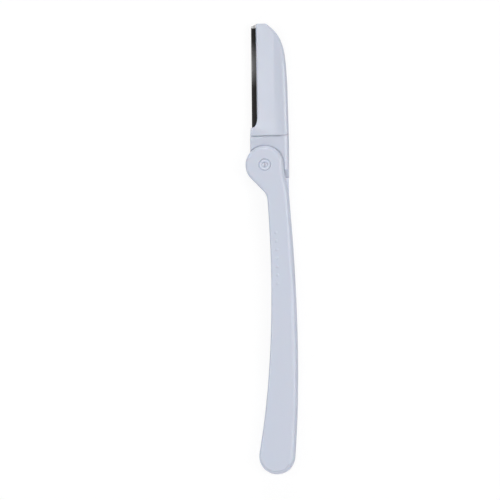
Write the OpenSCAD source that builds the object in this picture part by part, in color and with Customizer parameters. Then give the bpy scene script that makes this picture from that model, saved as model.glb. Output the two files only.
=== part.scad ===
// Folding eyebrow razor, lying on its back face with its blade folded out.
// The head points along +Y, the cutting edge faces -X and the pivot axis is parallel to Z.

/* [Handle] */
// Distance from the pivot axis to the centre of the rounded tail
handle_reach = 103.3; // [98:0.1:110]
// Radius of the rounded tail
tail_r = 6.4; // [6:0.1:6.8]
// How far the tail's centre lies to the spine side of the pivot axis
tail_offset = 4.5; // [4.2:0.1:4.8]
// Radius of the two ears that hold the pivot
knuckle_r = 6.8; // [6.6:0.1:6.9]
// Distance from the pivot axis to the spine edge at the neck
neck_spine_x = 8.65; // [8.5:0.05:8.8]
// Width of the neck below the ears
neck_w = 7.8; // [7.6:0.1:8.2]
// Radius of the inside corner between the ears and the belly edge
neck_fillet_r = 5; // [3:0.1:6]
// Thickness of each side wall
wall_t = 1.5; // [1.4:0.05:1.7]
// Thickness of the web along the spine, of the slot's end and round the hollow grip
web_t = 1.5; // [1.3:0.05:1.7]
// Width of the slot that takes the folded blade
slot_w = 3.8; // [3.7:0.05:4.1]
// Distance from the pivot axis to the closed end of the slot
slot_reach = 75; // [68:0.5:77]
// Rounding of the edges along the spine
spine_round = 2; // [1.6:0.1:2.4]
// Rounding of the edges of the ears on the spine side
ear_round = 1.9; // [1.4:0.1:2.2]
// Rounding of the edges along the belly, which are the lips of the slot
lip_round = 0.6; // [0.4:0.05:0.9]

/* [Inside the grip] */
// Number of ribs across the hollow grip
rib_count = 3; // [1:1:4]
// Thickness of a rib
rib_t = 0.9; // [0.7:0.05:1.2]
// Radius of the pegs that line up the two shells
peg_r = 0.8; // [0.6:0.05:1]
// Radius of the bosses round the pegs
boss_r = 1.8; // [1.6:0.05:2.2]

/* [Grip dots] */
// Number of raised dots for the thumb
dot_count = 7; // [3:1:8]
// Distance from one dot to the next
dot_pitch = 3; // [2.6:0.1:3.4]
// Radius of a dot where it meets the wall
dot_r = 0.7; // [0.5:0.05:0.9]
// Height of a dot
dot_rise = 0.16; // [0.1:0.02:0.24]
// Distance from the pivot axis down to the first dot
dot_reach = 24; // [20:0.5:28]
// Distance from the belly edge to the row of dots
dot_inset = 2.2; // [1.8:0.1:3]

/* [Pivot] */
// Radius of the bush that the arm turns on
bush_r = 1.5; // [1.4:0.05:1.6]
// Radius of the split pin inside the bush
pin_r = 0.9; // [0.8:0.02:0.96]
// Radius of the heads of the bush and the pin
rivet_head_r = 2; // [1.9:0.05:2.4]
// Thickness of those heads
rivet_head_t = 0.8; // [0.6:0.05:0.9]
// Width of the split in the pin
split_w = 0.16; // [0.12:0.02:0.24]
// Radius of the pads inside the ears
pad_r = 6.4; // [6:0.1:6.5]
// Gap between the pads where the arm turns
ear_gap = 3; // [2.9:0.05:3.1]

/* [Swing arm] */
// Distance from the pivot axis to the seam between the arm and the cartridge
arm_reach = 10.3; // [10:0.05:10.5]
// Distance from the pivot axis to the arm's front edge
arm_front_x = 5.15; // [5:0.05:5.3]
// Distance from the pivot axis to the arm's spine
arm_spine_x = 8.72; // [8.6:0.02:8.8]
// Distance from the pivot axis down to the end of the stop heel
heel_reach = 4.6; // [4.4:0.1:4.9]
// Length of the heel that is thinned
heel_thin_len = 3; // [2:0.1:3.4]
// Thickness of the thinned heel
heel_t = 1.8; // [1.4:0.1:2.2]
// Radius of the part of the arm between the ears
disc_r = 6.3; // [6:0.1:6.4]
// Length of the rail that carries the cartridge
rail_len = 11.5; // [10:0.5:12]
// Width of the rail
rail_w = 4.6; // [4.2:0.1:4.8]
// Thickness of the rail
rail_t = 1.6; // [1.4:0.05:1.7]
// Width of the slit that makes the rail springy
rail_slit_w = 0.8; // [0.6:0.1:1.2]

/* [Cartridge] */
// Distance from the pivot axis to the tip of the head
head_reach = 50.2; // [49:0.1:52]
// Thickness of the head at its crest
head_t = 3.4; // [3.3:0.05:3.5]
// Distance from the pivot axis to the spine where the nose starts
nose_spine_x = 8.05; // [7.8:0.05:8.2]
// Length of the rounded nose
nose_len = 22.2; // [20:0.1:23]
// Distance from the pivot axis to the crest line
crest_x = 3.2; // [3:0.1:3.5]
// Length of the foot between the seam and the bare steel
foot_len = 2.7; // [2.5:0.05:3.2]
// Angle of the facets that run from the crest to the blade
facet_angle = 7.4; // [6:0.1:7.8]
// Distance from the seam to where the facets run out
facet_start = 1.3; // [1:0.1:1.6]
// Width of the rolled edge along the spine
spine_roll = 2.4; // [2:0.1:2.5]
// Height of the rolled edge along the spine
spine_drop = 1.5; // [1.3:0.05:1.6]
// Radius of the stakes that locate the blade
stake_r = 1; // [0.8:0.05:1.1]

/* [Blade] */
// Thickness of the steel
blade_t = 0.3; // [0.25:0.01:0.35]
// Width of the steel from the edge to the back
blade_w = 5.9; // [5.6:0.1:6]
// Width of steel that shows beyond the covers
blade_show = 1.65; // [1.5:0.05:1.8]
// Width of the ground bevel on each side
bevel_w = 0.7; // [0.5:0.05:0.9]
// Distance that the cutting edge stays behind the front of the foot
edge_inset = 0.3; // [0.2:0.05:0.4]

/* [Clearances] */
// Radial gap between the bush and the arm
turn_gap = 0.05; // [0.03:0.01:0.08]
// Gap between parts that slide on each other
slide_gap = 0.1; // [0.06:0.01:0.14]
// Gap between parts that are seated in each other
seat_gap = 0.05; // [0.03:0.01:0.08]
// Gap between the arm and what it stops against or joins
seam_gap = 0.12; // [0.08:0.01:0.2]

/* [Hidden] */
$fn = 48;

plastic = [0.80, 0.82, 0.87];
steel = [0.55, 0.56, 0.58];

// Overrun of every cut, and the reach of a cut that has no end
over = 1;
far = 200;
// Bevel along the edges where two mouldings meet
part_line = 0.08;
// Share of a unit below which a sharp corner's step outwards is cut short
sharpest_share = 0.5;
// Turn of an arc per point, in degrees
arc_step = 7.5;
// Angle per step of the handle's rounded edges, in degrees
round_step = 15;
// Edge of the head from its side to its face, as shares of the rounding's width and drop
head_edge_shares = [[0, 1], [0.02, 0.84], [0.125, 0.55], [0.23, 0.3], [0.33, 0.19], [0.66, 0.02], [1, 0]];

// Slopes of the spine and belly edges, in degrees, where they leave the neck and reach the tail
spine_neck_angle = 5.2;
spine_tail_angle = 4.2;
belly_neck_angle = 4.5;
belly_tail_angle = 9.7;
// Share of a side curve's length that its end slopes act on
side_pull_share = 0.32;
// Slope of the line that joins the ears to the belly, in degrees
cheek_angle = 45;
// Steps along the curves of the handle and the head
belly_steps = 16;
spine_steps = 20;
shoulder_steps = 6;
back_steps = 20;
nose_steps = 12;

// Fold angle at which the arm meets the inner stop, in degrees
fold_angle = 184;
// Distance that the lug at the top of the web stays behind the arm's spine
lug_inset = 0.2;
// Depth of the rivet heads below the outer faces
rivet_sink = 0.1;
// Bevels round the mouth of the bush, and round the rivet heads and their seats
mouth_bevel = 0.2;
head_bevel = 0.2;

// Slopes in degrees: the seam below the cartridge, the window edge and the cutting edge
seam_slant = 1.9;
window_slant = 0.85;
edge_slant = 0.5;
// Slopes in degrees: the spine where the nose starts, and the nose where it meets the tip
nose_angle = 4;
tip_angle = 34.5;
// Shares of the nose's length that those two slopes act on
nose_pull_shares = [0.477, 0.366];
// Widths from the blade side of the head to the corners of the nose and its flat tip
tip_w = 5.7;
tip_flat_w = 2.7;
// Drops from the tip to the end of the nose curve, the corner beside the blade, the end of the cutting
// edge and the end of the steel behind the covers
nose_end_drop = 0.35;
corner_drop = 0.3;
edge_drop = 1;
back_drop = 1.4;
// Width and height of the window's rounded lower corner, and the angle in degrees that it turns through
window_corner_w = 2.1;
window_corner_h = 3.1;
foot_turn = 60;
// Roundings of the foot, of the tip's corner and of the thin edges beside the blade
foot_round = 0.8;
tip_round = 0.6;
thin_round = 0.2;
// Width of the rolled edge over the tip
tip_roll = 2;
// Slope of the facets' lower end, in degrees
runout_slope = 25;
// Slope of the bevel along a cover's lip, in degrees
lip_slope = 45;
// Thickness of a cover's lip beside the blade
lip_t = 0.4;
// Slope and turn, in degrees, of the relief in the arm where a fingertip lifts the cartridge
relief_slope = 18;
relief_turn = 11;
// Widths at both ends of the dark groove in the seam, and the places of those ends
groove_from_w = 0.3;
groove_to_w = 0.5;
groove_from_x = -4;
groove_to_x = 5.5;
// Length of the pocket under the covers' edge at the seam, and the plastic left over it
pocket_len = 0.9;
pocket_lip_t = 0.35;
// Plastic between the blade's back and the rail's groove
rail_land = 0.25;
// Length of steel held inside the foot
blade_hold = 0.4;
// Thickness of the sharpened edge
edge_t = 0.02;
// Places of the two stakes along the window, as shares of its length
stake_shares = [0.25, 0.75];
// Depth of the stakes and pegs in the other moulding
stake_len = 0.75;

handle_t = slot_w + 2 * wall_t;
mid_z = handle_t / 2;
tail_c = [tail_offset, -handle_reach];
tail_y = -handle_reach - tail_r;
neck_x = neck_spine_x - neck_w;
neck_y = -knuckle_r * sqrt(2) - neck_x;
rivet_seat_z = mid_z - rivet_sink - rivet_head_t;
peg_len = slot_w / 2;

// Outlines are lists of [x, y, edge rounding], counter-clockwise, with the pivot axis at the origin.
// Heights are measured from the plane halfway between the two side walls.

function bezier(a, b, c, d, n) = [
    for (i = [0 : n])
        let (t = i / n, s = 1 - t)
            s * s * s * a + 3 * s * s * t * b + 3 * s * t * t * c + t * t * t * d
];

function arc(centre, r, from, to) =
    let (n = ceil(abs(to - from) / arc_step))
        [for (i = [0 : n]) centre + r * [cos(from + (to - from) * i / n), sin(from + (to - from) * i / n)]];

// Gives each point an edge rounding that changes evenly from the first point to the last
function rounded(points, r0, r1) =
    let (last = len(points) - 1)
        [for (i = [0 : last]) [points[i].x, points[i].y, r0 + (r1 - r0) * i / last]];

// Leaves out each point that repeats the one before it
function tidy(points) = [
    for (i = [0 : len(points) - 1])
        let (before = points[(i + len(points) - 1) % len(points)])
            if (norm([points[i].x - before.x, points[i].y - before.y]) > part_line / 4) points[i]
];

function unit(v) = v / norm(v);

// Outward step at one point that moves both of its edges out by 1, or less at a very sharp corner
function outward(points, i) =
    let (
        n = len(points),
        here = [points[i].x, points[i].y],
        before = [points[(i + n - 1) % n].x, points[(i + n - 1) % n].y],
        after = [points[(i + 1) % n].x, points[(i + 1) % n].y],
        b = unit(after - here),
        t = unit(unit(here - before) + b)
    ) [t.y, -t.x] / max(sharpest_share, t * b);

function moved_in(points, distance) =
    [for (i = [0 : len(points) - 1]) [points[i].x, points[i].y] - distance * outward(points, i)];

function level_ring(outline, inset, z) = [for (p = moved_in(outline, inset)) [p.x, p.y, z]];

// One ring of an edge: shares is how far in and how far down it lies, times the edge rounding
function edge_ring(outline, h, squash, shares) = [
    for (i = [0 : len(outline) - 1])
        let (
            r = outline[i].z,
            p = [outline[i].x, outline[i].y] - r * shares[0] * outward(outline, i)
        ) [p.x, p.y, h - r * squash * shares[1]]
];

function band_faces(n, rings) = [
    for (k = [0 : rings - 2])
        for (i = [0 : n - 1])
            let (a = k * n + i, b = k * n + (i + 1) % n)
                for (f = [[a, a + n, b], [b, a + n, b + n]]) f
];

// Triangles that fill one ring, taken down its two sides from its highest point.
// i counts the points passed on the left side and j those on the right.
function ladder(ring) =
    let (
        n = len(ring),
        heights = [for (p = ring) p.y],
        top = search(max(heights), heights)[0]
    ) [
        for (
            i = 1, j = 0, left = ring[(top + 2) % n].y > ring[(top + n - 1) % n].y;
            i + j < n - 1;
            i = i + (left ? 1 : 0),
            j = j + (left ? 0 : 1),
            left = ring[(top + i + 1) % n].y > ring[(top + n - j - 1) % n].y
        )
            let (a = (top + i) % n, b = (top + n - j) % n)
                left ? [a, (top + i + 1) % n, b] : [a, (top + n - j - 1) % n, b]
    ];

// Skin of a moulding, from its lowest ring to its highest
module moulding(rings) {
    n = len(rings[0]);
    last = len(rings) - 1;
    polyhedron(
        points = [for (r = rings) for (p = r) p],
        faces = concat(
            ladder(rings[0]),
            band_faces(n, len(rings)),
            [for (f = ladder(rings[last])) [for (i = [2 : -1 : 0]) last * n + f[i]]]
        )
    );
}

handle_edge_shares = [for (angle = [0 : round_step : 90]) [1 - cos(angle), 1 - sin(angle)]];

// Half of the handle, from the middle plane outwards, with its outer edges rounded
module handle_blank() {
    moulding(concat(
        [level_ring(handle_outline, part_line, 0), level_ring(handle_outline, 0, part_line)],
        [for (shares = handle_edge_shares) edge_ring(handle_outline, mid_z, 1, shares)]
    ));
}

// Half of the head, from the middle plane outwards
module cover_blank() {
    moulding(concat(
        [level_ring(head_outline, part_line, 0), level_ring(head_outline, 0, part_line)],
        head_rings
    ));
}

// The head at its full thickness
module arm_blank() {
    lower = [for (k = [len(head_rings) - 1 : -1 : 0]) [for (p = head_rings[k]) [p.x, p.y, -p.z]]];
    moulding(concat(lower, head_rings));
}

// Copies to both sides of the middle plane
module both_sides() {
    children();
    mirror([0, 0, 1]) children();
}

// Outline of the handle

cheek_dir = [sin(cheek_angle), -cos(cheek_angle)];
belly_dir = [sin(belly_neck_angle), -cos(belly_neck_angle)];
fillet_tangent = neck_fillet_r * tan((cheek_angle - belly_neck_angle) / 2);
fillet_start = [neck_x, neck_y] - fillet_tangent * cheek_dir;
fillet_c = fillet_start - neck_fillet_r * [cos(cheek_angle), sin(cheek_angle)];

belly_start = [neck_x, neck_y] + fillet_tangent * belly_dir;
belly_end = tail_c + tail_r * [-cos(belly_tail_angle), sin(belly_tail_angle)];
belly_pull = side_pull_share * (belly_start.y - belly_end.y);
belly_curve = bezier(
    belly_start,
    belly_start + belly_pull * [tan(belly_neck_angle), -1],
    belly_end + belly_pull * [tan(belly_tail_angle), 1],
    belly_end,
    belly_steps
);

spine_start = tail_c + tail_r * [cos(spine_tail_angle), -sin(spine_tail_angle)];
spine_end = [neck_spine_x, neck_y];
spine_pull = side_pull_share * (spine_end.y - spine_start.y);
spine_curve = bezier(
    spine_start,
    spine_start + spine_pull * [tan(spine_tail_angle), 1],
    spine_end + spine_pull * [tan(spine_neck_angle), -1],
    spine_end,
    spine_steps
);

shoulder_curve = bezier(
    spine_end,
    spine_end + neck_y / 3 * [tan(spine_neck_angle), -1],
    [knuckle_r, neck_y / 3],
    [knuckle_r, 0],
    shoulder_steps
);

handle_outline = tidy(concat(
    rounded(arc([0, 0], knuckle_r, 0, 180 + cheek_angle), ear_round, lip_round),
    rounded(arc(fillet_c, neck_fillet_r, cheek_angle, belly_neck_angle), lip_round, lip_round),
    rounded(belly_curve, lip_round, lip_round),
    rounded(arc(tail_c, tail_r, 180 - belly_tail_angle, 360 - spine_tail_angle), lip_round, spine_round),
    rounded(spine_curve, spine_round, spine_round),
    rounded(shoulder_curve, spine_round, ear_round)
));

function x_at(curve, y) = lookup(y, [for (p = curve) [p.y, p.x]]);
function grip_mid(y) = (x_at(spine_curve, y) + x_at(belly_curve, y)) / 2;

// Outline of the head with the arm below it

front_x = -arm_front_x + edge_inset;
window_top = [front_x + blade_show, head_reach - corner_drop];
window_y = arm_reach + foot_len;
blade_open_len = window_top.y - window_y;
window_x = window_top.x + (blade_open_len - window_corner_h) * tan(window_slant);
window_corner = [
    for (p = arc([0, 0], 1, 0, -foot_turn))
        [window_x + window_corner_w * (p.x - 1), window_y + window_corner_h * (p.y + 1)]
];
nose_y = head_reach - nose_len;
nose_end = [front_x + tip_w, head_reach - nose_end_drop];

back_curve = bezier(
    [arm_spine_x, 0],
    [arm_spine_x, nose_y / 3],
    [nose_spine_x + nose_y / 3 * tan(nose_angle / 2), nose_y * 2 / 3],
    [nose_spine_x, nose_y],
    back_steps
);

nose_curve = bezier(
    [nose_spine_x, nose_y],
    [nose_spine_x, nose_y] + nose_pull_shares[0] * nose_len * [-sin(nose_angle), cos(nose_angle)],
    nose_end + nose_pull_shares[1] * nose_len * [cos(tip_angle), -sin(tip_angle)],
    nose_end,
    nose_steps
);

head_outline = tidy(concat(
    [[arm_spine_x, -heel_reach, spine_roll]],
    rounded(back_curve, spine_roll, spine_roll),
    rounded(nose_curve, spine_roll, tip_roll),
    [[nose_end.x - tip_round, head_reach, tip_roll]],
    [[nose_end.x - tip_round - tip_flat_w, head_reach, tip_roll]],
    [[window_top.x, window_top.y, thin_round]],
    rounded(window_corner, thin_round, thin_round),
    [[(front_x - arm_front_x) / 2, window_y, foot_round], [-arm_front_x, arm_reach, foot_round]],
    [[-arm_front_x, -heel_reach / 2, foot_round], [knuckle_r / 2, -heel_reach / 2, thin_round]],
    [[knuckle_r / 2, -heel_reach, thin_round]]
));
head_squash = spine_drop / spine_roll;
head_rings = [for (shares = head_edge_shares) edge_ring(head_outline, head_t / 2, head_squash, shares)];

// The whole razor's box, whose bottom centre is the origin
right_x = max([for (p = spine_curve) p.x]);
box_centre = [(right_x - knuckle_r) / 2, (head_reach + tail_y) / 2];

module in_frame() {
    translate([-box_centre.x, -box_centre.y, mid_z]) children();
}

// Handle

// Radius inside which the arm is thin enough to turn between the ears
sweep_r = knuckle_r + 3 * slide_gap;
stop_y = -heel_reach - seam_gap;
web_top_y = stop_y - web_t / 2;

function folded(x, y) =
    [x * cos(fold_angle) - y * sin(fold_angle), x * sin(fold_angle) + y * cos(fold_angle)] + [slide_gap, 0];

// Lug at the top of the web: its end stops the open arm, and its inner side the folded one
module stop_lug() {
    root_y = neck_y - web_t;
    linear_extrude(slot_w / 2 + part_line) intersection() {
        polygon([
            folded(-arm_front_x, 0),
            folded(-arm_front_x, arm_reach - over),
            [x_at(spine_curve, root_y) - web_t / 2, root_y],
            [neck_spine_x, neck_y],
            [arm_spine_x - lug_inset, stop_y],
            [arm_spine_x - lug_inset, 0]
        ]);
        translate([0, root_y]) square([far, stop_y - root_y]);
    }
}

// Space between the walls for the folded blade, as far as the web and the slot's end
module slot_plan() {
    corner_r = 2 * web_t;
    corner_x = x_at(spine_curve, -slot_reach) - web_t;
    polygon(concat(
        [[-far, -slot_reach]],
        arc([corner_x - corner_r, corner_r - slot_reach], corner_r, -90, 0),
        [for (p = spine_curve) if (p.y > corner_r - slot_reach + web_t) [p.x - web_t, p.y]],
        [[neck_spine_x - web_t, web_top_y], [far, web_top_y], [far, far], [-far, far]]
    ));
}

hollow_top = -slot_reach - web_t;
rib_pitch = (hollow_top - tail_y - web_t) / (rib_count + 1);

// Hollow of the closed grip, between its ribs and bosses
module hollow_plan() {
    difference() {
        intersection() {
            polygon(moved_in(handle_outline, web_t));
            translate([-far, -far]) square([2 * far, far + hollow_top]);
        }
        for (i = [1 : rib_count]) {
            y = hollow_top - i * rib_pitch;
            translate([-far, y - rib_t / 2]) square([2 * far, rib_t]);
            translate([grip_mid(y), y]) circle(boss_r);
        }
    }
}

// Places of the pegs: every second boss
module at_pegs() {
    for (i = [1 : 2 : rib_count]) {
        y = hollow_top - i * rib_pitch;
        translate([grip_mid(y), y, 0]) children();
    }
}

// One side of the handle, from the middle plane outwards
module handle_half() {
    difference() {
        union() {
            difference() {
                handle_blank();
                translate([0, 0, -over]) linear_extrude(over + slot_w / 2) slot_plan();
                translate([0, 0, -over]) linear_extrude(over + slot_w / 2) hollow_plan();
            }
            translate([0, 0, ear_gap / 2]) cylinder(r = pad_r, h = wall_t / 2);
        }
        translate([0, 0, -over]) cylinder(r = bush_r + seat_gap, h = mid_z + 2 * over);
        translate([0, 0, rivet_seat_z]) cylinder(r = rivet_head_r + seat_gap, h = rivet_head_t + over);
        translate([0, 0, mid_z - head_bevel])
            cylinder(
                r1 = rivet_head_r + seat_gap,
                r2 = rivet_head_r + seat_gap + 2 * head_bevel,
                h = 2 * head_bevel
            );
    }
    stop_lug();
}

// Raised dot: the top of a ball that sits in the wall
module grip_dot() {
    ball_r = (dot_r * dot_r + dot_rise * dot_rise) / (2 * dot_rise);
    intersection() {
        translate([0, 0, dot_rise - ball_r]) sphere(ball_r);
        translate([0, 0, -dot_rise]) cylinder(r = dot_r, h = 3 * dot_rise);
    }
}

module handle_front_shell() {
    color(plastic) in_frame() {
        difference() {
            handle_half();
            at_pegs() translate([0, 0, -over])
                cylinder(r = peg_r + seat_gap, h = over + peg_len + seat_gap);
        }
        for (i = [0 : dot_count - 1]) {
            y = -dot_reach - i * dot_pitch;
            translate([x_at(belly_curve, y) + dot_inset, y, mid_z]) grip_dot();
        }
    }
}

module handle_back_shell() {
    color(plastic) in_frame() {
        mirror([0, 0, 1]) handle_half();
        at_pegs() translate([0, 0, -peg_r]) cylinder(r = peg_r, h = peg_r + peg_len);
    }
}

// Pivot

// Head of the bush or the pin, from its seat to its bevelled face
module rivet_head() {
    rim_t = rivet_head_t - seat_gap - head_bevel;
    cylinder(r = rivet_head_r, h = rim_t);
    translate([0, 0, rim_t]) cylinder(r1 = rivet_head_r, r2 = rivet_head_r - head_bevel, h = head_bevel);
}

module pivot_bush() {
    mouth_z = mid_z - rivet_sink - mouth_bevel;
    color(plastic) in_frame() difference() {
        union() {
            translate([0, 0, rivet_seat_z + seat_gap]) rivet_head();
            translate([0, 0, -rivet_seat_z]) cylinder(r = bush_r, h = 2 * rivet_seat_z + rivet_head_t / 2);
        }
        translate([0, 0, -mid_z]) cylinder(r = pin_r + seat_gap, h = handle_t);
        translate([0, 0, mouth_z])
            cylinder(r1 = pin_r + seat_gap, r2 = pin_r + seat_gap + 2 * mouth_bevel, h = 2 * mouth_bevel);
    }
}

module pivot_pin() {
    shank_low = -rivet_seat_z - rivet_head_t / 2;
    color(plastic) in_frame() difference() {
        union() {
            translate([0, 0, -rivet_seat_z - seat_gap]) mirror([0, 0, 1]) rivet_head();
            translate([0, 0, shank_low]) cylinder(r = pin_r, h = mid_z - 2 * rivet_sink - shank_low);
        }
        translate([-split_w / 2, -2 * pin_r, mid_z - ear_gap]) cube([split_w, 4 * pin_r, ear_gap + over]);
    }
}

// Everything on the cartridge's side of the seam, or on the arm's side of it
module at_seam(side, gap) {
    translate([0, arm_reach, 0]) rotate([0, 0, seam_slant])
        translate([-far / 2, side > 0 ? gap : -far + gap, -far / 2]) cube(far);
}

// Swing arm

rail_x = window_x - blade_show + blade_w + rail_land + slide_gap + rail_w / 2;

// Slanted relief in the arm's face beside the seam
module seam_relief() {
    translate([crest_x, arm_reach, head_t / 2])
        rotate([0, 0, relief_turn])
            rotate([-relief_slope, 0, 0])
                translate([-far, 0, 0]) cube([far, far, mid_z]);
}

// Groove across the arm's face at the seam, which widens towards the spine
module seam_groove() {
    translate([0, arm_reach, rail_t / 2 + slide_gap]) rotate([0, 0, seam_slant]) linear_extrude(mid_z)
        polygon([
            [groove_from_x, -groove_from_w], [groove_to_x, -groove_to_w],
            [groove_to_x, over], [groove_from_x, over]
        ]);
}

module swing_arm() {
    disc_t = ear_gap - 2 * slide_gap;
    color(plastic) in_frame() difference() {
        union() {
            difference() {
                arm_blank();
                at_seam(1, 0);
                both_sides() {
                    seam_groove();
                    seam_relief();
                }
            }
            translate([0, 0, -head_t / 2]) cylinder(r = disc_r, h = head_t);
            translate([rail_x - rail_w / 2, 0, -rail_t / 2]) cube([rail_w, arm_reach + rail_len, rail_t]);
        }
        both_sides() {
            translate([0, 0, disc_t / 2]) cylinder(r = sweep_r, h = mid_z);
            translate([knuckle_r / 2, -heel_reach - over, heel_t / 2])
                cube([knuckle_r, heel_thin_len + over, mid_z]);
        }
        translate([0, 0, -mid_z]) cylinder(r = bush_r + turn_gap, h = handle_t);
        translate([rail_x - rail_slit_w / 2, arm_reach + rail_len / 4, -mid_z])
            cube([rail_slit_w, rail_len, handle_t]);
    }
}

// Blade

function edge_x(y) = front_x + (window_top.y - y) * tan(edge_slant);

blade_low = window_y - blade_hold;
blade_high = head_reach - back_drop;
blade_plan = [
    [edge_x(blade_low), blade_low],
    [edge_x(blade_low) + blade_w, blade_low],
    [edge_x(blade_high) + blade_w, blade_high],
    [window_top.x - 2 * seat_gap, blade_high],
    [window_top.x - 2 * seat_gap, window_top.y - 2 * seat_gap],
    [edge_x(window_top.y), head_reach - edge_drop]
];

module at_stakes() {
    for (share = stake_shares) {
        y = window_y + share * blade_open_len;
        translate([edge_x(y) + (blade_show + blade_w) / 2, y, 0]) children();
    }
}

module blade() {
    grind_angle = atan((blade_t - edge_t) / 2 / bevel_w);
    color(steel) in_frame() difference() {
        translate([0, 0, -blade_t / 2]) linear_extrude(blade_t) polygon(blade_plan);
        both_sides() translate([edge_x(blade_low), blade_low, edge_t / 2]) rotate([0, 0, edge_slant])
            rotate([0, -grind_angle, 0]) translate([-over, -over, 0])
                cube([over + 2 * bevel_w, blade_open_len + 2 * over, blade_t]);
        at_stakes() cylinder(r = stake_r + slide_gap, h = handle_t, center = true);
    }
}

// Cartridge

// Space above the slanted facet between the crest and the blade
module facet_space() {
    intersection() {
        translate([crest_x, 0, head_t / 2]) rotate([0, -facet_angle, 0])
            translate([-far, 0, 0]) cube([far, far, mid_z]);
        translate([0, arm_reach + facet_start, head_t / 2]) rotate([-runout_slope, 0, 0])
            translate([-far, 0, 0]) cube([2 * far, far, far]);
    }
}

// Bevel along a cover's lip beside the blade, as far down as the window's rounded corner
module lip_bevel() {
    lip_len = blade_open_len - window_corner_h;
    translate([window_top.x, window_top.y, blade_t / 2 + lip_t]) rotate([0, 0, window_slant])
        rotate([0, -lip_slope, 0]) translate([-over, -lip_len, 0]) cube([2 * over, lip_len + over, over]);
}

// Pocket under the cover's edge at the seam, beside the rail
module seam_pocket() {
    from_x = rail_x - rail_w / 2;
    translate([from_x, arm_reach - over, 0])
        cube([groove_to_x - from_x, over + pocket_len, head_t / 2 - pocket_lip_t]);
}

module cover_half() {
    difference() {
        cover_blank();
        at_seam(-1, seam_gap);
        seam_pocket();
        facet_space();
        lip_bevel();
        translate([0, 0, -over])
            linear_extrude(over + blade_t / 2 + seat_gap) polygon(moved_in(blade_plan, -seat_gap));
        translate([rail_x - rail_w / 2 - slide_gap, 0, -over])
            cube([
                rail_w + 2 * slide_gap, arm_reach + rail_len + 2 * slide_gap, over + rail_t / 2 + slide_gap
            ]);
    }
}

// Place of the peg that lines up the noses of the covers
module at_nose_peg() {
    translate([crest_x + peg_r, nose_y + nose_len / 4, 0]) children();
}

module cartridge_front_cover() {
    color(plastic) in_frame() {
        cover_half();
        at_stakes() translate([0, 0, -stake_len]) cylinder(r = stake_r, h = stake_len + blade_t);
        at_nose_peg() translate([0, 0, -stake_len]) cylinder(r = peg_r, h = stake_len + blade_t);
    }
}

module cartridge_back_cover() {
    socket_len = stake_len + seat_gap;
    color(plastic) in_frame() difference() {
        mirror([0, 0, 1]) cover_half();
        at_stakes() translate([0, 0, -socket_len]) cylinder(r = stake_r + seat_gap, h = socket_len + over);
        at_nose_peg() translate([0, 0, -socket_len]) cylinder(r = peg_r + seat_gap, h = socket_len + over);
    }
}

handle_front_shell();
handle_back_shell();
pivot_bush();
pivot_pin();
swing_arm();
cartridge_front_cover();
cartridge_back_cover();
blade();
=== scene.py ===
"""Folding eyebrow razor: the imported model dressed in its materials, on a plain pale floor."""
import math

import bpy
from mathutils import Matrix, Vector

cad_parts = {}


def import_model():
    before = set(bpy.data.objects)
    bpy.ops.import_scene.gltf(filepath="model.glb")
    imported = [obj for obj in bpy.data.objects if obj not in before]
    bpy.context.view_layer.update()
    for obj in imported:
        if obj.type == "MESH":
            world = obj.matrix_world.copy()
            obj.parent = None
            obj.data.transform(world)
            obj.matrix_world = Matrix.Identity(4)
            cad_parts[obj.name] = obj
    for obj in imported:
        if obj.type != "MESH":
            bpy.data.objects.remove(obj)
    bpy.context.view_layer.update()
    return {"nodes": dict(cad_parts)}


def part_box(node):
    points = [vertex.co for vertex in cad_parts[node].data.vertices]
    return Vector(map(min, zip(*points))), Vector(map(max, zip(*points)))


MM = 0.001

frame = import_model()
nodes = frame["nodes"]


# ---- Node helpers -----------------------------------------------------------------------------

def new_material(name):
    """A new material with an empty node tree, and that tree."""
    mat = bpy.data.materials.new(name)
    mat.use_nodes = True
    tree = mat.node_tree
    tree.nodes.clear()
    return mat, tree


def finish_material(tree, shader):
    """Ends a material's tree in its shader."""
    output = add(tree, "ShaderNodeOutputMaterial")
    tree.links.new(shader, output.inputs["Surface"])


def add(tree, kind, **sockets):
    """One node. Each keyword names an input, with _ for a space, or else one of the node's settings."""
    node = tree.nodes.new(kind)
    for key, value in sockets.items():
        name = key.replace("_", " ")
        if name in node.inputs:
            put(tree, node.inputs[name], value)
        else:
            setattr(node, key, value)
    return node


def put(tree, socket, value):
    """Sets an input to a value, or links another node's output to it."""
    if isinstance(value, bpy.types.NodeSocket):
        tree.links.new(value, socket)
    else:
        socket.default_value = value


def maths(tree, operation, first, second):
    """One operation on two values or sockets."""
    node = add(tree, "ShaderNodeMath", operation=operation)
    put(tree, node.inputs[0], first)
    put(tree, node.inputs[1], second)
    return node.outputs[0]


def mixed(tree, share, first, second):
    """The first shader where share is 0, and the second where it is 1."""
    node = add(tree, "ShaderNodeMixShader", Fac=share)
    tree.links.new(first.outputs[0], node.inputs[1])
    tree.links.new(second.outputs[0], node.inputs[2])
    return node.outputs[0]


def ramp(tree, factor, stops):
    """A colour ramp of (position, grey or colour) stops."""
    node = add(tree, "ShaderNodeValToRGB", Fac=factor)
    elements = node.color_ramp.elements
    while len(elements) < len(stops):
        elements.new(0.5)
    for element, (position, colour) in zip(elements, stops):
        element.position = position
        if isinstance(colour, (int, float)):
            colour = (colour, colour, colour)
        element.color = (*colour, 1)
    return node.outputs["Color"]


def stretched(tree, coordinates, scale):
    """Coordinates scaled along each axis."""
    return add(tree, "ShaderNodeMapping", Vector=coordinates, Scale=scale).outputs["Vector"]


def noise(tree, vector, scale, detail=3.0):
    """Noise that stays mostly between 0.3 and 0.7."""
    return add(tree, "ShaderNodeTexNoise", Vector=vector, Scale=scale, Detail=detail).outputs["Fac"]


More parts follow.
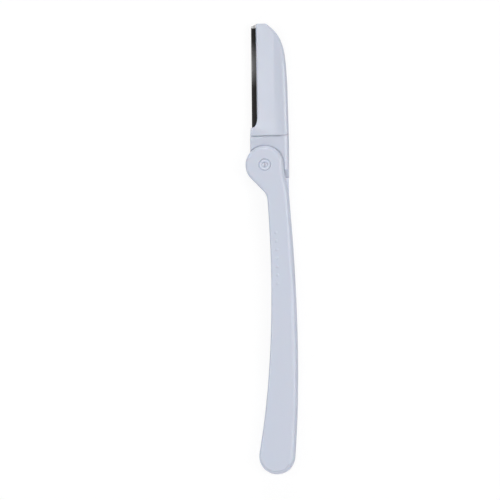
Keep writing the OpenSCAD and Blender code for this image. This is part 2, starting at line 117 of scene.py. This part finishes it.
def mapped(tree, value, low, high, from_low=0.3, from_high=0.7):
    """A value spread from low to high. It is noise unless its own range is given."""
    node = add(
        tree, "ShaderNodeMapRange",
        Value=value, From_Min=from_low, From_Max=from_high, To_Min=low, To_Max=high,
    )
    return node.outputs["Result"]


def seen(tree):
    """1 for rays that see the background straight, in a reflection or through glass. 0 for its light."""
    path = add(tree, "ShaderNodeLightPath")
    share = path.outputs["Is Camera Ray"]
    for name in ("Is Glossy Ray", "Is Transmission Ray"):
        share = maths(tree, "MAXIMUM", share, path.outputs[name])
    return share


# ---- Materials --------------------------------------------------------------------------------

# The plastic drifts a little between these two
PLASTIC = (0.580, 0.628, 0.741)
PLASTIC_WARM = (0.594, 0.632, 0.738)
# A noise's scale is its features to a metre, and its stretch goes by X, Y and Z
DRIFT_STRETCH = (1, 0.35, 1)
DRIFT_SCALE = 60.0
GLOSS_SCALE = 240.0
GLOSS_DRIFT = (-0.03, 0.04)
GRAIN_SCALE = 2600.0
GRAIN_DEPTH = 0.02 * MM

# The blade's steel colours are painted reflections: lighter, darker and black stretches and a grey tip
STEEL_REFLECTION_LIGHTER = (0.052, 0.052, 0.0535)
STEEL_REFLECTION_DARKER = (0.0105, 0.0103, 0.0105)
STEEL_REFLECTION_BLACK = (0.0085, 0.0085, 0.0085)
STEEL_TIP_REFLECTION_GREY = (0.20, 0.20, 0.20)
# Painted reflection: lighter, darker and black stretches of the steel's colour, and a grey tip, stand in
# for what the polished blade reflects. Positions are shares of the blade's length from its heel to its
# tip
PAINTED_REFLECTION_STOPS = [
    (0.0, STEEL_REFLECTION_DARKER), (0.40, STEEL_REFLECTION_DARKER), (0.56, STEEL_REFLECTION_LIGHTER), (0.66, STEEL_REFLECTION_LIGHTER),
    (0.84, STEEL_REFLECTION_DARKER), (0.92, STEEL_REFLECTION_BLACK), (0.962, STEEL_REFLECTION_BLACK), (0.972, STEEL_TIP_REFLECTION_GREY),
]
STEEL_GLOSS = (0.28, 0.38)
GRIND_STRETCH = (0.04, 1, 1)
GRIND_SCALE = 9000.0
GRIND_DEPTH = 0.01 * MM
BLADE_ENDS = (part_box("blade")[0].y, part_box("blade")[1].y)


def plastic(name, roughness, grain, tone):
    """Moulded plastic: slight drifts of colour and gloss, and the faint waviness of a mould's surface."""
    cool, warm = [tuple(tone * channel for channel in colour) for colour in (PLASTIC, PLASTIC_WARM)]
    mat, tree = new_material(name)
    place = add(tree, "ShaderNodeTexCoord").outputs["Object"]
    drift = noise(tree, stretched(tree, place, DRIFT_STRETCH), DRIFT_SCALE)
    fine = noise(tree, place, GRAIN_SCALE, detail=2.0)
    colour = ramp(tree, drift, [(0.35, cool), (0.65, warm)])
    low, high = [roughness + change for change in GLOSS_DRIFT]
    gloss = mapped(tree, noise(tree, place, GLOSS_SCALE), low, high)
    bump = add(tree, "ShaderNodeBump", Height=fine, Strength=grain, Distance=GRAIN_DEPTH)
    shader = add(
        tree, "ShaderNodeBsdfPrincipled",
        Base_Color=colour, Roughness=gloss, Normal=bump.outputs["Normal"],
        IOR=1.49, Subsurface_Weight=0.08, Subsurface_Scale=0.8 * MM,
    )
    finish_material(tree, shader.outputs["BSDF"])
    return mat


def steel(name):
    """Dark ground steel, with its grinding lines across the strip, and painted reflections: its colour
    runs through lighter and darker stretches along the blade to a grey tip.
    """
    mat, tree = new_material(name)
    place = add(tree, "ShaderNodeTexCoord").outputs["Object"]
    lines = noise(tree, stretched(tree, place, GRIND_STRETCH), GRIND_SCALE, detail=2.0)
    along = add(tree, "ShaderNodeSeparateXYZ", Vector=place).outputs["Y"]
    # Painted reflection: the steel's colour changes along the blade's length
    colour = ramp(tree, mapped(tree, along, 0, 1, *BLADE_ENDS), PAINTED_REFLECTION_STOPS)
    gloss = mapped(tree, lines, *STEEL_GLOSS)
    bump = add(tree, "ShaderNodeBump", Height=lines, Strength=0.15, Distance=GRIND_DEPTH)
    shader = add(
        tree, "ShaderNodeBsdfPrincipled",
        Base_Color=colour, Metallic=1.0, Roughness=gloss, Normal=bump.outputs["Normal"],
    )
    finish_material(tree, shader.outputs["BSDF"])
    return mat


HANDLE = plastic("handle_plastic", roughness=0.38, grain=0.08, tone=1.01)
# Painted light: the pivot's plastic is a lighter copy of the same plastic, so the small recessed pivot
# shows bright
PIVOT_PAINTED_LIGHT = plastic("pivot_plastic", roughness=0.32, grain=0.04, tone=1.1)
HEAD = plastic("head_plastic", roughness=0.32, grain=0.05, tone=0.955)
# The blade's steel, with painted reflections along its length
BLADE_PAINTED_REFLECTION = steel("blade_steel")


# ---- Pieces -----------------------------------------------------------------------------------

# Bends in degrees between which an edge is a crease of the covers and not a step of a rounding
CREASE = (5, 12)
# Corners are looked up on a grid of this size
SAME_PLACE = 0.004 * MM
WELD_REACH = 0.002 * MM
# Bends in degrees up to which faces make one flat, and from which an edge is broken
FLAT_BEND = 0.6
EDGE_BEND = 34


def mark_creases(mesh):
    """Marks the shallow creases between two flats as sharp. The mesh comes in split at its creases."""
    sides = {}
    for polygon in mesh.polygons:
        for key in polygon.edge_keys:
            ends = sorted(tuple(round(c / SAME_PLACE) for c in mesh.vertices[v].co) for v in key)
            sides.setdefault(tuple(ends), []).append((key, polygon.normal.copy()))
    creased = set()
    for found in sides.values():
        if len(found) == 2:
            bend = math.degrees(found[0][1].angle(found[1][1], 0.0))
            if CREASE[0] < bend < CREASE[1]:
                creased.update(key for key, _ in found)
    for edge in mesh.edges:
        edge.use_edge_sharp = edge.key in creased


def dress(name, mat, edge_width):
    """Gives a CAD node its material, clean flats and softly broken edges."""
    obj = nodes[name]
    mesh = obj.data
    for layer in [a for a in mesh.attributes if a.name == "custom_normal"]:
        mesh.attributes.remove(layer)
    mesh.materials.clear()
    mesh.materials.append(mat)
    for polygon in mesh.polygons:
        polygon.use_smooth = True
    mark_creases(mesh)
    weld = obj.modifiers.new("Weld", "WELD")
    weld.merge_threshold = WELD_REACH
    flats = obj.modifiers.new("Flats", "DECIMATE")
    flats.decimate_type = "DISSOLVE"
    flats.angle_limit = math.radians(FLAT_BEND)
    bevel = obj.modifiers.new("Edges", "BEVEL")
    bevel.width = edge_width
    bevel.segments = 2
    bevel.limit_method = "ANGLE"
    bevel.angle_limit = math.radians(EDGE_BEND)
    bevel.miter_outer = "MITER_ARC"
    bevel.harden_normals = False
    normals = obj.modifiers.new("Normals", "WEIGHTED_NORMAL")
    normals.keep_sharp = True
    normals.weight = 50


for piece in ("handle_front_shell", "handle_back_shell"):
    dress(piece, HANDLE, edge_width=0.10 * MM)
for piece in ("pivot_bush", "pivot_pin"):
    dress(piece, PIVOT_PAINTED_LIGHT, edge_width=0.05 * MM)
for piece in ("swing_arm", "cartridge_front_cover", "cartridge_back_cover"):
    dress(piece, HEAD, edge_width=0.08 * MM)
dress("blade", BLADE_PAINTED_REFLECTION, edge_width=0.01 * MM)


# ---- Floor, world and lamps -------------------------------------------------------------------

WHITE = (1, 1, 1, 1)
FLOOR_COLOUR = (0.9, 0.9, 0.9, 1)
FLOOR_HALF = 3.0
# Just under the razor's flat back
FLOOR_Z = -0.02 * MM
# Where the floor is seen, this share of it is a plain white glow and the rest shows the shadow
GLOW_SHARE = 0.82
GLOW_STRENGTH = 1.05
# The dome's greys. The positions are the sine of the height above the floor
DOME_STOPS = [
    (0.0, 0.17), (0.45, 0.17), (0.60, 0.0), (0.75, 0.48),
    (0.86, 0.48), (0.92, 1.0), (0.97, 1.0), (0.985, 0.1),
]
DOME_STRENGTH = 1.34
LAMP_DISTANCE = 1.6


def floor():
    """Wide pale floor that shows white and keeps the razor's soft shadow."""
    half, z = FLOOR_HALF, FLOOR_Z
    mesh = bpy.data.meshes.new("floor")
    corners = [(-half, -half, z), (half, -half, z), (half, half, z), (-half, half, z)]
    mesh.from_pydata(corners, [], [(0, 1, 2, 3)])
    obj = bpy.data.objects.new("floor", mesh)
    bpy.context.scene.collection.objects.link(obj)
    mat, tree = new_material("floor")
    share = maths(tree, "MULTIPLY", seen(tree), GLOW_SHARE)
    matte = add(tree, "ShaderNodeBsdfDiffuse", Color=FLOOR_COLOUR)
    glow = add(tree, "ShaderNodeEmission", Color=WHITE, Strength=GLOW_STRENGTH)
    finish_material(tree, mixed(tree, share, matte, glow))
    mesh.materials.append(mat)


def world():
    """Soft dome: brightest high up, dim right above the razor and low down. Seen, it is white."""
    wrld = bpy.data.worlds.new("dome")
    bpy.context.scene.world = wrld
    wrld.use_nodes = True
    tree = wrld.node_tree
    tree.nodes.clear()
    direction = add(tree, "ShaderNodeTexCoord").outputs["Generated"]
    height = add(tree, "ShaderNodeSeparateXYZ", Vector=direction).outputs["Z"]
    dome = ramp(tree, height, DOME_STOPS)
    light = add(tree, "ShaderNodeBackground", Color=dome, Strength=DOME_STRENGTH)
    white = add(tree, "ShaderNodeBackground", Color=WHITE, Strength=1.0)
    output = add(tree, "ShaderNodeOutputWorld")
    tree.links.new(mixed(tree, seen(tree), light, white), output.inputs["Surface"])


def lamp(name, turn, height, size, watts, matte=True, sheen=True):
    """Square softbox aimed at the razor. turn is counted from +X towards +Y and height from the floor,
    in degrees. matte and sheen say what it adds: the even light, the reflections or both."""
    data = bpy.data.lights.new(name, "AREA")
    data.size = size
    data.energy = watts
    obj = bpy.data.objects.new(name, data)
    bpy.context.scene.collection.objects.link(obj)
    turn, height = math.radians(turn), math.radians(height)
    flat = math.cos(height)
    away = Vector((math.cos(turn) * flat, math.sin(turn) * flat, math.sin(height)))
    obj.location = away * LAMP_DISTANCE
    obj.rotation_euler = (-away).to_track_quat("-Z", "Y").to_euler()
    obj.visible_diffuse = matte
    obj.visible_glossy = sheen


floor()
world()
lamp("left", 180, 35, size=0.70, watts=3.8)
lamp("right", 0, 50, size=0.70, watts=4.9)
lamp("top", 90, 15, size=0.60, watts=10.5, sheen=False)
lamp("bottom", -90, 30, size=0.70, watts=4.3, sheen=False)
lamp("left sheen", 180, 75, size=0.40, watts=5.4, matte=False)
lamp("right sheen", 0, 56, size=0.40, watts=5.4, matte=False)
lamp("top sheen", 90, 55, size=0.40, watts=6.2, matte=False)


# ---- Camera -----------------------------------------------------------------------------------

# The photo's frame: its centre in the razor's own frame, and its width, at the razor's middle plane
FRAME_CENTRE = Vector((-7.762, -0.442, 3.4)) * MM
FRAME_WIDTH = 177.6 * MM
DISTANCE = 0.9

camera = bpy.data.cameras.new("camera")
camera.sensor_width = 36
camera.lens = camera.sensor_width * DISTANCE / FRAME_WIDTH
camera.clip_start = 0.01
camera.clip_end = 20
eye = bpy.data.objects.new("camera", camera)
bpy.context.scene.collection.objects.link(eye)
eye.matrix_world = Matrix.Translation(FRAME_CENTRE + Vector((0, 0, DISTANCE)))
bpy.context.scene.camera = eye

bpy.context.scene.view_settings.view_transform = "Standard"
